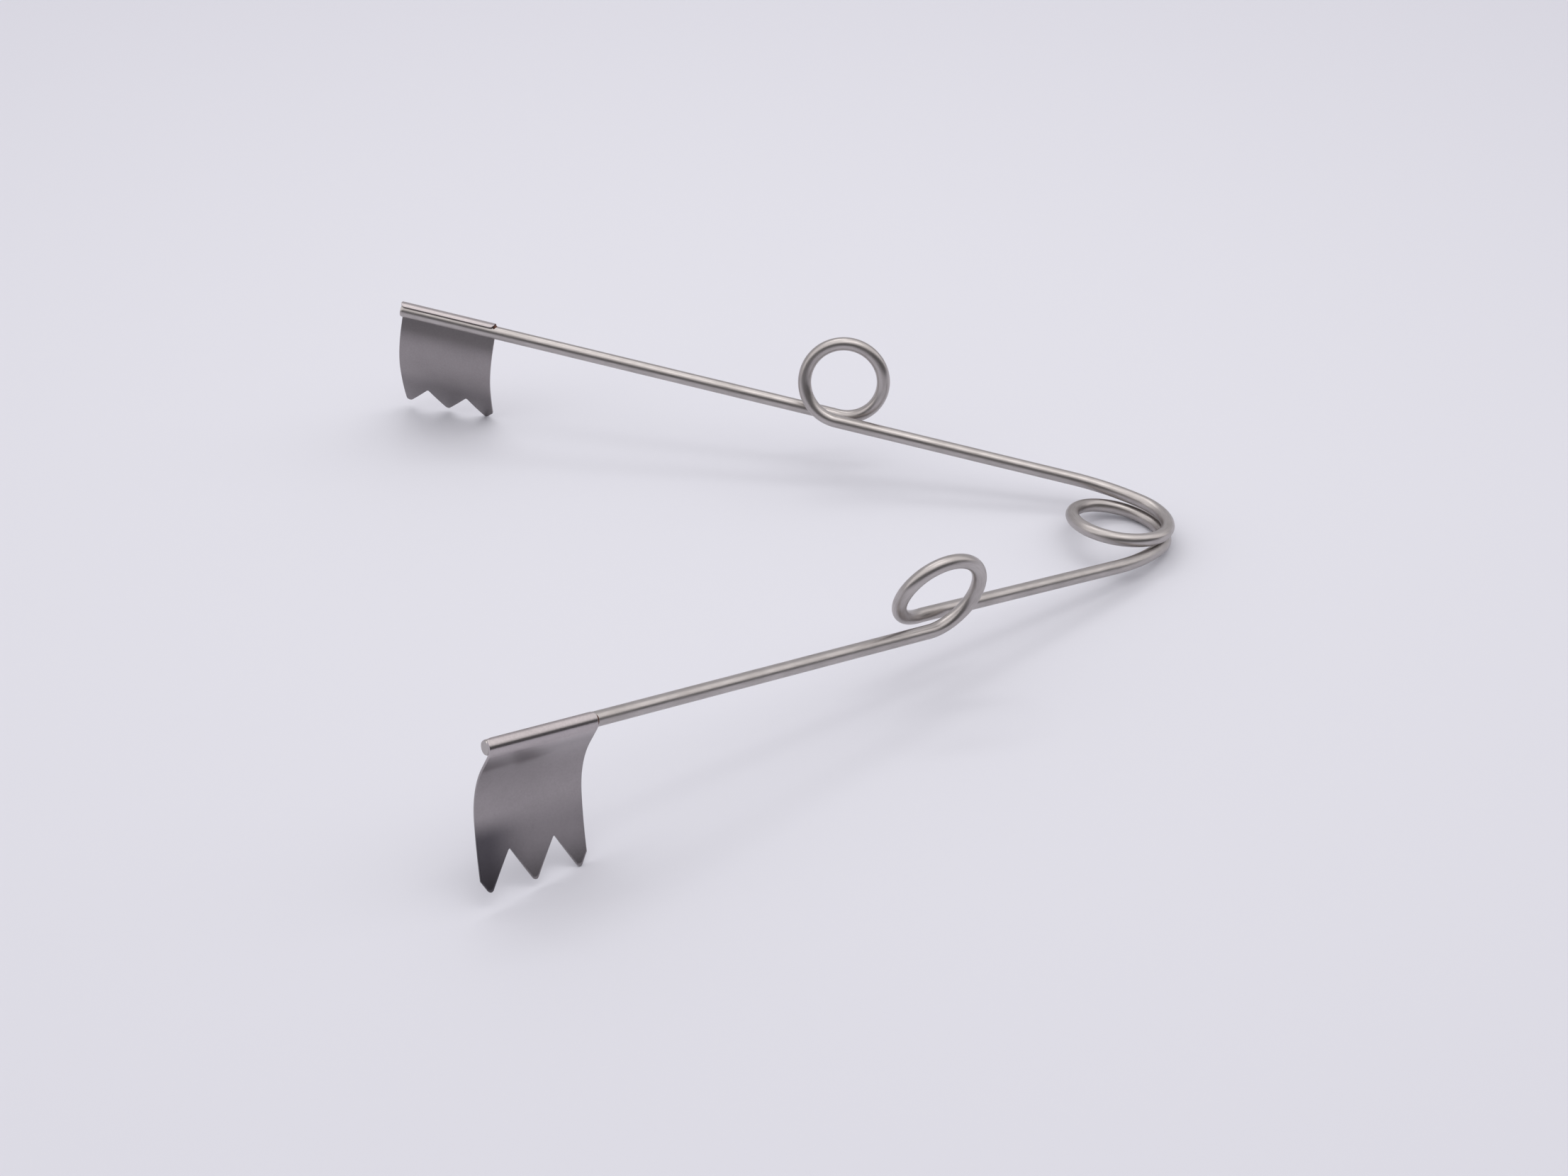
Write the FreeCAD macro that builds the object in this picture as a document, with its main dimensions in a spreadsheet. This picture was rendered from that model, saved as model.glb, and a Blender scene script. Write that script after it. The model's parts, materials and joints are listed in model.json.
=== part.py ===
import FreeCAD, Part
import math
import os
import Sketcher
from FreeCAD import Placement, Rotation, Vector

# A self-retaining vascular retractor: one bent spring wire with a coil at its apex and a ring in
# each arm, and a toothed sheet blade hooked over each wire end and brazed there.
#
# The wire is laid out flat first: the coil's centre is the origin, the arms run to -X, the far
# arm lies on the +Y side and leaves the top of the coil, the near arm lies on the -Y side and
# leaves its bottom. At the end everything is tipped together until the coil's underside and one
# tooth of each blade stand on z = 0.

doc = FreeCAD.newDocument("vascular_retractor")

# Driving dimensions, in millimetres and degrees
dimensions = {
    "wire_diameter": (1.5, "round spring wire"),
    "coil_radius": (5.29, "apex coil, to the wire's centre line"),
    "coil_pitch": (1.665, "rise of the coil in one turn"),
    "coil_lead_angle": (44.5, "how far each coil end lies past the line of symmetry"),
    "coil_lean_angle": (-2.5, "tilt of the coil about the line of symmetry"),
    "lead_radius": (21.4, "gentle bend between the coil and an arm"),
    "arm_spread_angle": (22.98, "angle of one arm from the line of symmetry"),
    "near_arm_climb_angle": (-1.46, "the near arm falls from the coil by this angle"),
    "far_arm_climb_angle": (0.8, "the far arm rises from the coil by this angle"),
    "inner_arm_length": (27.08, "straight wire between the gentle bend and the ring"),
    "jog_radius": (6.0, "small bend where the wire enters and leaves a ring"),
    "ring_radius": (4.435, "ring, to the wire's centre line"),
    "ring_shift": (2.24, "how far a ring moves the wire outwards"),
    "near_ring_lean_angle": (15.9, "the near ring leans outwards from upright"),
    "far_ring_lean_angle": (6.5, "the far ring leans outwards from upright"),
    "near_outer_arm_length": (52.05, "straight wire from the near ring to the wire's end"),
    "far_outer_arm_length": (51.78, "straight wire from the far ring to the wire's end"),
    "outer_arm_flare_angle": (0.48, "the outer straight turns this much further out"),
    "outer_arm_droop_angle": (0.26, "the outer straight falls by this angle"),
    "sheet_thickness": (0.25, "blade sheet"),
    "braze_gap": (0.03, "space between the wire and the fold"),
    "near_fold_angle": (90.0, "how far the near fold reaches over the wire, from outwards"),
    "far_fold_angle": (118.0, "how far the far fold reaches over the wire, from outwards"),
    "neck_angle": (22.2, "the sheet leaves the wire this much inwards"),
    "neck_length": (2.12, "straight stretch under the wire"),
    "belly_radius": (8.83, "curve of the blade, at the middle of the sheet"),
    "belly_turn_angle": (44.6, "angle that the curve turns through"),
    "near_blade_width": (11.6, "near blade, along the wire"),
    "far_blade_width": (11.09, "far blade, along the wire"),
    "near_blade_setback": (-0.1, "wire's end past the near blade's side edge"),
    "far_blade_setback": (0.17, "wire's end past the far blade's side edge"),
    "near_blade_splay_angle": (-1.0, "near blade turned outwards about its wire"),
    "far_blade_splay_angle": (12.6, "far blade turned outwards about its wire"),
    "side_level": (2.35, "height above the curve's end at which a blade's width is measured"),
    "near_outer_side_angle": (0.0, "near blade's side at the wire's end, out of square"),
    "far_outer_side_angle": (2.4, "far blade's side at the wire's end, out of square"),
    "near_inner_side_angle": (0.0, "near blade's other side, out of square"),
    "far_inner_side_angle": (1.05, "far blade's other side, out of square"),
    "near_tooth_row_angle": (0.0, "near blade's row of teeth, out of line with the wire"),
    "far_tooth_row_angle": (3.2, "far blade's row of teeth, out of line with the wire"),
    "near_tooth_lean_angle": (0.0, "near blade's teeth lean this much to the wire's end"),
    "far_tooth_lean_angle": (6.0, "far blade's teeth lean this much to the wire's end"),
    "near_tooth_reach": (6.64, "end of the near blade's curve to its sharp points"),
    "far_tooth_reach": (5.65, "end of the far blade's curve to its sharp points"),
    "near_tooth_pitch": (4.88, "near blade, from one tooth to the next"),
    "far_tooth_pitch": (4.8, "far blade, from one tooth to the next"),
    "near_tooth_depth": (4.05, "near blade, from sharp point to sharp root"),
    "far_tooth_depth": (3.6, "far blade, from sharp point to sharp root"),
    "tip_radius": (0.32, "rounding of the tooth points"),
    "root_radius": (0.15, "rounding of the notch roots"),
    "corner_radius": (0.5, "rounding of the fold's two free corners"),
    "trim_margin": (0.6, "strip of the blank that the notches and the sides' cuts take away"),
    "bead_length": (0.4, "braze bead on the wire beyond the fold"),
    "bead_toe": (0.08, "height of the bead where it runs out"),
}

sheet = doc.addObject("Spreadsheet::Sheet", "Sizes")
for row, (alias, (value, note)) in enumerate(dimensions.items(), start=1):
    sheet.set(f"A{row}", note)
    sheet.set(f"B{row}", str(value))
    sheet.setAlias(f"B{row}", alias)
doc.recompute()


def size(alias):
    return float(sheet.get(alias))


def bind(feature, **expressions):
    for name, expression in expressions.items():
        feature.setExpression(name, expression)


# The wire's centre line. It is grown edge by edge, each starting where the last one ended and
# along its direction, so the wire has no kink.

def turned(vector, axis, degrees):
    return Rotation(axis, degrees).multVec(vector)


# A coil is a chain of flat arcs of at most a sixth of a turn, each tipped a little from the last
widest_arc = 60


def coil_arcs(turn):
    return math.ceil(turn / widest_arc)


def coil_slope(radius, rise, turn):
    """How steeply the wire climbs to gain this rise in this turn."""
    half_arc = math.radians(turn / coil_arcs(turn) / 2)
    return math.atan2(rise, coil_arcs(turn) * 2 * radius * math.tan(half_arc))


class WirePath:
    def __init__(self, point, direction):
        self.point = point
        self.direction = direction
        self.edges = []

    def straight(self, length):
        end = self.point + self.direction * length
        self.edges.append(Part.makeLine(self.point, end))
        self.point = end

    def bend_to(self, direction, radius):
        """An arc in the plane of the old and the new direction."""
        axis = self.direction.cross(direction).normalize()
        angle = math.degrees(self.direction.getAngle(direction))
        centre = self.point + axis.cross(self.direction) * radius
        spoke = self.point - centre
        middle = centre + turned(spoke, axis, angle / 2)
        end = centre + turned(spoke, axis, angle)
        self.edges.append(Part.Arc(self.point, middle, end).toShape())
        self.point = end
        self.direction = direction

    def coil_about(self, axis, radius, turn):
        """Winds on about axis at the slope that the wire has now; a negative turn goes clockwise."""
        arcs = coil_arcs(abs(turn))
        flatness = math.sin(self.direction.getAngle(axis))
        for _ in range(arcs):
            direction = turned(self.direction, axis, turn / arcs)
            half_step = math.radians(abs(turn) / arcs / 2)
            half_bend = self.direction.getAngle(direction) / 2
            self.bend_to(direction, radius * math.tan(half_step) / math.tan(half_bend) / flatness)

    def wire(self):
        return Part.Wire(self.edges)


coil_turn = 360 + 2 * size("coil_lead_angle")
coil_height = size("coil_pitch") * coil_turn / 360
coil_tilt = Rotation(Vector(1, 0, 0), size("coil_lean_angle"))
coil_axis = coil_tilt.multVec(Vector(0, 0, 1))


def coil_end(side):
    """Where the coil hands over to an arm, and the way the wire leaves it there."""
    angle = math.radians(side * size("coil_lead_angle"))
    slope = coil_slope(size("coil_radius"), coil_height, coil_turn)
    radial = Vector(math.cos(angle), math.sin(angle), 0)
    around = Vector(-math.sin(angle), math.cos(angle), 0)
    point = radial * size("coil_radius") + Vector(0, 0, side * coil_height / 2)
    climbing = around * math.cos(slope) + Vector(0, 0, math.sin(slope))
    return coil_tilt.multVec(point), coil_tilt.multVec(climbing * side)


def arm_path(name, side):
    """One arm from the coil to the wire's end; side is 1 for the far arm, -1 for the near one."""
    path = WirePath(*coil_end(side))
    spread = math.radians(size("arm_spread_angle"))
    climb = math.radians(size(f"{name}_arm_climb_angle"))
    level = Vector(-math.cos(spread), side * math.sin(spread), 0)
    along = level * math.cos(climb) + Vector(0, 0, math.sin(climb))
    outwards = Vector(math.sin(spread), side * math.cos(spread), 0)
    up = along.cross(outwards) * -side
    path.bend_to(along, size("lead_radius"))
    path.straight(size("inner_arm_length"))

    # The ring stands on the arm and leans outwards; the wire winds outwards round its axis
    lean = math.radians(size(f"{name}_ring_lean_angle"))
    ring_axis = outwards * math.cos(lean) - up * math.sin(lean)
    slope = coil_slope(size("ring_radius"), size("ring_shift"), 360)
    path.bend_to(along * math.cos(slope) + ring_axis * math.sin(slope), size("jog_radius"))
    path.coil_about(ring_axis, size("ring_radius"), side * 360)

    flare = math.radians(size("outer_arm_flare_angle"))
    droop = math.radians(size("outer_arm_droop_angle"))
    flared = along * math.cos(flare) + outwards * math.sin(flare)
    path.bend_to(flared * math.cos(droop) - up * math.sin(droop), size("jog_radius"))
    path.straight(size(f"{name}_outer_arm_length"))
    return path, outwards


def round_section(name, point, direction):
    section = doc.addObject("Part::Circle", name)
    bind(section, Radius="Sizes.wire_diameter / 2")
    section.Placement = Placement(point, Rotation(Vector(0, 0, 1), direction))
    return section


def swept_wire(name, path, point, direction):
    line = doc.addObject("Part::Feature", f"{name}_line")
    line.Shape = path.wire()
    sweep = doc.addObject("Part::Sweep", name)
    sweep.Sections = [round_section(f"{name}_section", point, direction)]
    sweep.Spine = (line, [])
    sweep.Solid = True
    sweep.Frenet = False
    sweep.Transition = "Transformed"
    return sweep


near_path, near_outwards = arm_path("near", -1)
far_path, far_outwards = arm_path("far", 1)
near_arm = swept_wire("near_arm", near_path, *coil_end(-1))
far_arm = swept_wire("far_arm", far_path, *coil_end(1))

# The apex coil rises from the near arm to the far arm, a good quarter turn more than once round
coil_start, leaving_coil = coil_end(-1)
coil_path = WirePath(coil_start, -leaving_coil)
coil_path.coil_about(coil_axis, size("coil_radius"), coil_turn)
apex_coil = swept_wire("apex_coil", coil_path, coil_start, -leaving_coil)


# A blade, in its own frame: the wire's axis is Z, X points outwards across the arm, Y is up. The
# sheet hooks over the wire from the outside, leaves it inwards and swings out again to its teeth.

wrap_inner = "Sizes.wire_diameter / 2 + Sizes.braze_gap"
wrap_outer = f"{wrap_inner} + Sizes.sheet_thickness"


def origin_plane(body, role):
    return next(f for f in body.Origin.OriginFeatures if f.Role == role)


def heading(degrees):
    """Down the sheet, and outwards from it, where it runs this much inwards of straight down."""
    a = math.radians(degrees)
    return Vector(-math.sin(a), -math.cos(a), 0), Vector(math.cos(a), -math.sin(a), 0)


def fold_corners(reach):
    """Points on both faces of the sheet, worked out from the sizes to start the sketch."""
    inner = size("wire_diameter") / 2 + size("braze_gap")
    outer = inner + size("sheet_thickness")
    half = size("sheet_thickness") / 2
    neck, neck_out = heading(size("neck_angle"))
    tooth, tooth_out = heading(size("neck_angle") - size("belly_turn_angle"))
    belly = size("belly_radius")
    centre = neck_out * (inner + half + belly) + neck * size("neck_length")
    faces = []
    for wrap, bend in ((outer, belly - half), (inner, belly + half)):
        top = neck_out * wrap
        bottom = top + neck * size("neck_length")
        knee = centre - tooth_out * bend
        faces.append((wrap, top, bottom, bend, knee, knee + tooth * reach))
    return centre, faces


def arc(centre, radius, start, end):
    circle = Part.Circle(centre, Vector(0, 0, 1), radius)
    return Part.ArcOfCircle(circle, math.radians(start), math.radians(end))


def constrain(sketch, kind, *arguments, bound=None):
    index = sketch.addConstraint(Sketcher.Constraint(kind, *arguments))
    if bound:
        sketch.setExpression(f"Constraints[{index}]", bound)


def fold_profile(body, name, middle_text):
    """The closed outline of the bent sheet, across the wire at the blade's middle."""
    sketch = body.newObject("Sketcher::SketchObject", f"{name}_profile")
    sketch.AttachmentSupport = [(origin_plane(body, "XY_Plane"), "")]
    sketch.MapMode = "FlatFace"
    sketch.setExpression("AttachmentOffset.Base.z", middle_text)
    neck = size("neck_angle")
    turn = size("belly_turn_angle")
    fold = size(f"{name}_fold_angle")
    reach = size(f"{name}_tooth_reach") + size("trim_margin")
    centre, (out, inside) = fold_corners(reach)
    lines = []
    for wrap, top, bottom, bend, knee, end in (out, inside):
        lines.append(sketch.addGeometry(arc(Vector(0, 0, 0), wrap, -neck, fold)))
        lines.append(sketch.addGeometry(Part.LineSegment(top, bottom)))
        lines.append(sketch.addGeometry(arc(centre, bend, 180 - neck, 180 - neck + turn)))
        lines.append(sketch.addGeometry(Part.LineSegment(knee, end)))
    out_wrap, out_neck, out_belly, out_tooth, in_wrap, in_neck, in_belly, in_tooth = lines
    rim, _ = heading(180 - fold + 90)
    free_edge = sketch.addGeometry(Part.LineSegment(rim * inside[0], rim * out[0]))
    blank_end = sketch.addGeometry(Part.LineSegment(out[5], inside[5]))

    start, end, middle, origin = 1, 2, 3, -1
    for wrap, line, belly, tooth in (
        (out_wrap, out_neck, out_belly, out_tooth),
        (in_wrap, in_neck, in_belly, in_tooth),
    ):
        constrain(sketch, "Coincident", wrap, middle, origin, start)
        constrain(sketch, "Tangent", wrap, start, line, start)
        constrain(sketch, "Tangent", line, end, belly, start)
        constrain(sketch, "Tangent", belly, end, tooth, start)
    constrain(sketch, "Coincident", out_belly, middle, in_belly, middle)
    constrain(sketch, "Coincident", free_edge, start, in_wrap, end)
    constrain(sketch, "Coincident", free_edge, end, out_wrap, end)
    constrain(sketch, "Coincident", blank_end, start, out_tooth, end)
    constrain(sketch, "Coincident", blank_end, end, in_tooth, end)
    constrain(sketch, "PointOnObject", origin, start, free_edge)
    constrain(sketch, "Parallel", out_neck, in_neck)
    constrain(sketch, "Parallel", out_tooth, in_tooth)
    constrain(sketch, "Perpendicular", blank_end, out_tooth)

    constrain(sketch, "Radius", in_wrap, inside[0], bound=wrap_inner)
    constrain(sketch, "Radius", out_wrap, out[0], bound=wrap_outer)
    constrain(
        sketch, "Radius", out_belly, out[3],
        bound="Sizes.belly_radius - Sizes.sheet_thickness / 2",
    )
    constrain(sketch, "Distance", out_neck, size("neck_length"), bound="Sizes.neck_length")
    constrain(
        sketch, "Distance", out_tooth, reach,
        bound=f"Sizes.{name}_tooth_reach + Sizes.trim_margin",
    )
    constrain(
        sketch, "Angle", out_neck, math.radians(-90 - neck),
        bound="-(90 + Sizes.neck_angle) * 1 deg",
    )
    constrain(
        sketch, "Angle", out_tooth, math.radians(-90 - neck + turn),
        bound="-(90 + Sizes.neck_angle - Sizes.belly_turn_angle) * 1 deg",
    )
    fold_text = f"Sizes.{name}_fold_angle * 1 deg"
    constrain(sketch, "Angle", free_edge, math.radians(fold), bound=fold_text)
    return sketch


def tooth_frame(name, side, level, angle_alias):
    """On the middle of the sheet, this far above its curve: X along the wire, Y up, Z inwards."""
    centre, _ = fold_corners(0)
    tooth, tooth_out = heading(size("neck_angle") - size("belly_turn_angle"))
    knee = centre - tooth_out * size("belly_radius")
    knee.z = side * size(f"{name}_blade_width") / 2
    square = Placement(knee, Rotation(Vector(0, 0, 1), -tooth, -tooth_out, "ZXY"))
    turn = Rotation(Vector(0, 0, 1), side * size(angle_alias))
    return square * Placement(Vector(0, level, 0), turn)


def cut_outline(body, name, frame, corners, across, down, middle_text):
    """A closed outline for a cut through the sheet, drawn in the tooth frame."""
    sketch = body.newObject("Sketcher::SketchObject", name)
    sketch.AttachmentSupport = [(origin_plane(body, "XY_Plane"), "")]
    sketch.MapMode = "FlatFace"
    sketch.AttachmentOffset = frame
    sketch.setExpression("AttachmentOffset.Base.z", middle_text)
    count = len(corners)
    for index in range(count):
        sketch.addGeometry(Part.LineSegment(corners[index], corners[(index + 1) % count]))
    for index in range(count):
        constrain(sketch, "Coincident", index, 2, (index + 1) % count, 1)
        constrain(sketch, "DistanceX", index, 1, corners[index].x, bound=across[index])
        constrain(sketch, "DistanceY", index, 1, corners[index].y, bound=down[index])
    return sketch


def cut_through(body, name, sketch, length_text):
    cut = body.newObject("PartDesign::Pocket", name)
    cut.Profile = sketch
    cut.Midplane = True
    bind(cut, Length=length_text)
    return cut


def edges_at(shape, frame, places):
    """Names of the short straight edges through the sheet at these places in the tooth frame."""
    through = frame.Rotation.multVec(Vector(0, 0, 1))
    names = []
    for index, edge in enumerate(shape.Edges, start=1):
        if edge.Curve.TypeId != "Part::GeomLine" or abs(edge.tangentAt(0).dot(through)) < 0.99:
            continue
        middle = frame.inverse().multVec(edge.CenterOfMass)
        if any(abs(middle.x - x) < 0.05 and abs(middle.y - y) < 0.05 for x, y in places):
            names.append(f"Edge{index}")
    return names


def rounded(body, name, base, edges, alias):
    fillet = body.newObject("PartDesign::Fillet", name)
    fillet.Base = (base, edges)
    bind(fillet, Radius=f"Sizes.{alias}")
    return fillet


def make_blade(name, side):
    """A blade whose side edge at the wire's end is at about Z = 0."""
    body = doc.addObject("PartDesign::Body", f"{name}_blade")
    width_text = f"Sizes.{name}_blade_width"
    middle_text = f"{side} * {width_text} / 2"
    blank = body.newObject("PartDesign::Pad", f"{name}_blank")
    blank.Profile = fold_profile(body, name, middle_text)
    blank.Midplane = True
    bind(blank, Length=f"{width_text} + 2 * Sizes.trim_margin")

    # Both sides are cut off straight, each at its own angle
    half_width = size(f"{name}_blade_width") / 2
    spare = size("trim_margin") * 3
    height = size("belly_radius") * 2
    for end, sign in (("outer", -side), ("inner", side)):
        frame = tooth_frame(name, side, size("side_level"), f"{name}_{end}_side_angle")
        near_x = sign * half_width
        far_x = sign * (half_width + spare)
        corners = (
            Vector(near_x, -height, 0), Vector(near_x, height, 0),
            Vector(far_x, height, 0), Vector(far_x, -height, 0),
        )
        near_text = f"{sign} * {width_text} / 2"
        far_text = f"{near_text} + {sign} * Sizes.trim_margin * 3"
        down_text = "-Sizes.belly_radius * 2"
        up_text = "Sizes.belly_radius * 2"
        across = (near_text, near_text, far_text, far_text)
        down = (down_text, up_text, up_text, down_text)
        sketch = cut_outline(body, f"{name}_{end}_side", frame, corners, across, down, middle_text)
        cut_through(body, f"{name}_{end}_side_cut", sketch, "Sizes.belly_radius * 2")

    # One notch, repeated along the edge. The first and the last repeat cut only the corners.
    frame = tooth_frame(name, side, 0, f"{name}_tooth_row_angle")
    pitch = size(f"{name}_tooth_pitch")
    depth = size(f"{name}_tooth_depth")
    reach = size(f"{name}_tooth_reach")
    margin = size("trim_margin") * 2
    first = -1.5 * pitch
    half = pitch / 2 * (depth + margin) / depth
    low = -reach - margin
    lean = side * math.tan(math.radians(size(f"{name}_tooth_lean_angle")))
    foot = first - lean * (depth + margin)
    corners = (
        Vector(first, depth - reach, 0), Vector(foot - half, low, 0), Vector(foot + half, low, 0)
    )
    pitch_text = f"Sizes.{name}_tooth_pitch"
    depth_text = f"Sizes.{name}_tooth_depth"
    reach_text = f"Sizes.{name}_tooth_reach"
    margin_text = "Sizes.trim_margin * 2"
    first_text = f"-1.5 * {pitch_text}"
    half_text = f"{pitch_text} / 2 * ({depth_text} + {margin_text}) / {depth_text}"
    lean_text = f"{side} * tan(Sizes.{name}_tooth_lean_angle * 1 deg)"
    foot_text = f"{first_text} - {lean_text} * ({depth_text} + {margin_text})"
    across = (first_text, f"{foot_text} - {half_text}", f"{foot_text} + {half_text}")
    low_text = f"-{reach_text} - {margin_text}"
    down = (f"{depth_text} - {reach_text}", low_text, low_text)
    sketch = cut_outline(body, f"{name}_notch", frame, corners, across, down, middle_text)
    notch = cut_through(body, f"{name}_notch_cut", sketch, "Sizes.sheet_thickness * 6")
    notches = body.newObject("PartDesign::LinearPattern", f"{name}_notches")
    notches.Originals = [notch]
    notches.Direction = (sketch, ["H_Axis"])
    notches.Occurrences = 4
    bind(notches, Length=f"{pitch_text} * 3")
    body.Tip = notches
    doc.recompute()

    points = [(k * pitch - lean * depth, -reach) for k in (-1, 0, 1)]
    roots = [(k * pitch / 2, depth - reach) for k in (-1, 1)]
    tips = rounded(body, f"{name}_tips", notches, edges_at(notches.Shape, frame, points), "tip_radius")
    doc.recompute()
    root_edges = edges_at(tips.Shape, frame, roots)
    clear_roots = rounded(body, f"{name}_roots", tips, root_edges, "root_radius")
    doc.recompute()

    # The fold's free corners are the two edges through the sheet at the fold angle
    rim = math.radians(size(f"{name}_fold_angle"))
    along_rim = Vector(math.cos(rim), math.sin(rim), 0)
    corner_edges = []
    for index, edge in enumerate(clear_roots.Shape.Edges, start=1):
        centre = edge.CenterOfMass
        on_rim = abs(centre.cross(along_rim).z) < 0.01 and centre.dot(along_rim) > 0
        if on_rim and abs(edge.Length - size("sheet_thickness")) < 0.01:
            corner_edges.append(f"Edge{index}")
    body.Tip = rounded(body, f"{name}_corners", clear_roots, corner_edges, "corner_radius")
    return body


near_blade = make_blade("near", -1)
far_blade = make_blade("far", 1)


# The braze bead: a small cone of filler round the wire against the fold's inner end

def make_bead(name, side):
    cone = doc.addObject("Part::Cone", f"{name}_bead")
    foot = "Sizes.wire_diameter / 2 + Sizes.bead_toe"
    radii = (wrap_outer, foot) if side > 0 else (foot, wrap_outer)
    arc_text = f"Sizes.{name}_fold_angle + Sizes.neck_angle"
    bind(cone, Radius1=radii[0], Radius2=radii[1], Height="Sizes.bead_length", Angle=arc_text)
    hole = doc.addObject("Part::Cylinder", f"{name}_bead_bore")
    bind(hole, Radius="Sizes.wire_diameter / 2", Height="Sizes.bead_length")
    bead = doc.addObject("Part::Cut", f"{name}_braze")
    bead.Base = cone
    bead.Tool = hole
    # It starts where the fold's end, which leans with the blade's side, comes nearest to the coil
    side_angle = f"{name}_inner_side_angle"
    frame = tooth_frame(name, side, size("side_level"), side_angle)
    _, (outer_face, _) = fold_corners(0)
    across = frame.inverse().multVec(outer_face[1]).x
    tilt = math.radians(size(side_angle))
    fold_end = (side * size(f"{name}_blade_width") / 2 - across) / math.cos(tilt)
    low = fold_end if side > 0 else fold_end - size("bead_length")
    for feature in (cone, hole):
        turn = Rotation(Vector(0, 0, 1), -size("neck_angle"))
        feature.Placement = Placement(Vector(0, 0, low), turn)
    return bead


near_braze = make_bead("near", -1)
far_braze = make_bead("far", 1)
doc.recompute()


# Each blade's frame on its wire: Z runs from the coil outwards on the near side, and towards
# the coil on the far side.

def blade_place(path, outwards, side, setback, splay):
    end = path.point - path.direction * setback
    axis = path.direction * -side
    across = (outwards - axis * outwards.dot(axis)).normalize()
    seat = Placement(end, Rotation(across, axis.cross(across), axis, "ZXY"))
    return seat * Placement(Vector(0, 0, 0), Rotation(Vector(0, 0, 1), splay))


near_seat = blade_place(
    near_path, near_outwards, -1, size("near_blade_setback"), size("near_blade_splay_angle")
)
far_seat = blade_place(far_path, far_outwards, 1, size("far_blade_setback"), size("far_blade_splay_angle"))

nodes = {
    near_arm: Placement(),
    far_arm: Placement(),
    apex_coil: Placement(),
    near_blade: near_seat,
    near_braze: near_seat,
    far_blade: far_seat,
    far_braze: far_seat,
}


# At rest it stands on three points: the coil's underside and the lowest tooth of each blade.

def lowest_point(feature, place, up):
    shape = feature.Shape.copy()
    shape.Placement = place * shape.Placement
    points = shape.tessellate(0.02)[0]
    return min(points, key=lambda point: point.dot(up))


def standing_direction():
    up = Vector(0, 0, 1)
    for _ in range(6):
        feet = [lowest_point(node, nodes[node], up) for node in (apex_coil, near_blade, far_blade)]
        up = (feet[1] - feet[0]).cross(feet[2] - feet[0]).normalize()
        if up.z < 0:
            up = -up
    return up


tipped = Placement(Vector(0, 0, 0), Rotation(standing_direction(), Vector(0, 0, 1)))
for node, place in nodes.items():
    node.Placement = tipped * place
doc.recompute()
whole = FreeCAD.BoundBox()
for node in nodes:
    whole.add(node.Shape.optimalBoundingBox(True, False))
foot_centre = Vector(whole.Center.x, whole.Center.y, whole.ZMin)
for node in nodes:
    node.Placement = Placement(-foot_centre, Rotation()) * node.Placement
doc.recompute()

for feature in doc.Objects:
    if "Invalid" in feature.State or "Error" in feature.State:
        raise RuntimeError(f"{feature.Label} could not be built: {feature.State}")
for node in nodes:
    if node.Shape.isNull() or not node.Shape.isValid():
        raise RuntimeError(f"{node.Label} has no valid shape")

os.makedirs("parts", exist_ok=True)
for node in nodes:
    node.Shape.exportStep(f"parts/{node.Label}.step")
    box = node.Shape.optimalBoundingBox(True, False)
    print(f"{node.Label}: {len(node.Shape.Solids)} solid, {node.Shape.Volume:.2f} mm3, {box}")

joint = tipped.Rotation.multVec(Vector(0, 0, 1))
print("size", [round(length, 2) for length in (whole.XLength, whole.YLength, whole.ZLength)])
print("coil centre", -foot_centre, "axis", joint, "turn", tipped.Rotation.Axis, tipped.Rotation.Angle)
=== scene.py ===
import bmesh
import bpy
import json
import math
from mathutils import Matrix, Vector


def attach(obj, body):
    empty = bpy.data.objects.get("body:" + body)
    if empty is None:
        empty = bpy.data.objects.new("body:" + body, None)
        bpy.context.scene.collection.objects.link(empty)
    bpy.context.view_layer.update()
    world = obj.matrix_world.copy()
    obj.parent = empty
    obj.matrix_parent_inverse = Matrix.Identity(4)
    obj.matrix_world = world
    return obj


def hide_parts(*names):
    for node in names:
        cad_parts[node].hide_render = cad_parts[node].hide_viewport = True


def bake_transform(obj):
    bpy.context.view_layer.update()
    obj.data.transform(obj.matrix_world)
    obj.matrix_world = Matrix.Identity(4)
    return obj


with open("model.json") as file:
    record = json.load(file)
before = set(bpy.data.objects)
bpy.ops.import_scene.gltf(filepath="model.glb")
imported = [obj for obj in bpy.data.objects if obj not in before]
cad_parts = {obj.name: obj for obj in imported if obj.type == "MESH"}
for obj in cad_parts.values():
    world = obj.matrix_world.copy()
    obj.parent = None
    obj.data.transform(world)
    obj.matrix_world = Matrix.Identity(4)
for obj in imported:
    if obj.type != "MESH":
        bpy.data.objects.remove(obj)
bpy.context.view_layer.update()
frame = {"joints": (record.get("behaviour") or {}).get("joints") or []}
mm = 0.001
print("frame loaded")

# The whole wire is laid out flat about the coil's centre, as it is bent, and then tipped the way
# the retractor stands. The spring's joint holds both the centre and the tilt.
apexSpring = frame["joints"][0]
coilCentre = Vector(apexSpring["pos_m"])
standingTilt = Vector((0, 0, 1)).rotation_difference(Vector(apexSpring["axis"]))
standing = Matrix.Translation(coilCentre) @ standingTilt.to_matrix().to_4x4() @ Matrix.Scale(mm, 4)


def turned(vector, axis, angle):
    return Matrix.Rotation(angle, 3, axis) @ vector


def meshObject(name, points, faces):
    mesh = bpy.data.meshes.new(name)
    mesh.from_pydata(points, [], faces)
    piece = bpy.data.objects.new(name, mesh)
    bpy.context.scene.collection.objects.link(piece)
    return piece


# Materials

def newMaterial(name):
    material = bpy.data.materials.new(name)
    material.use_nodes = True
    nodes = material.node_tree.nodes
    shader = nodes["Principled BSDF"]
    return material, nodes, material.node_tree.links, shader


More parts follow.
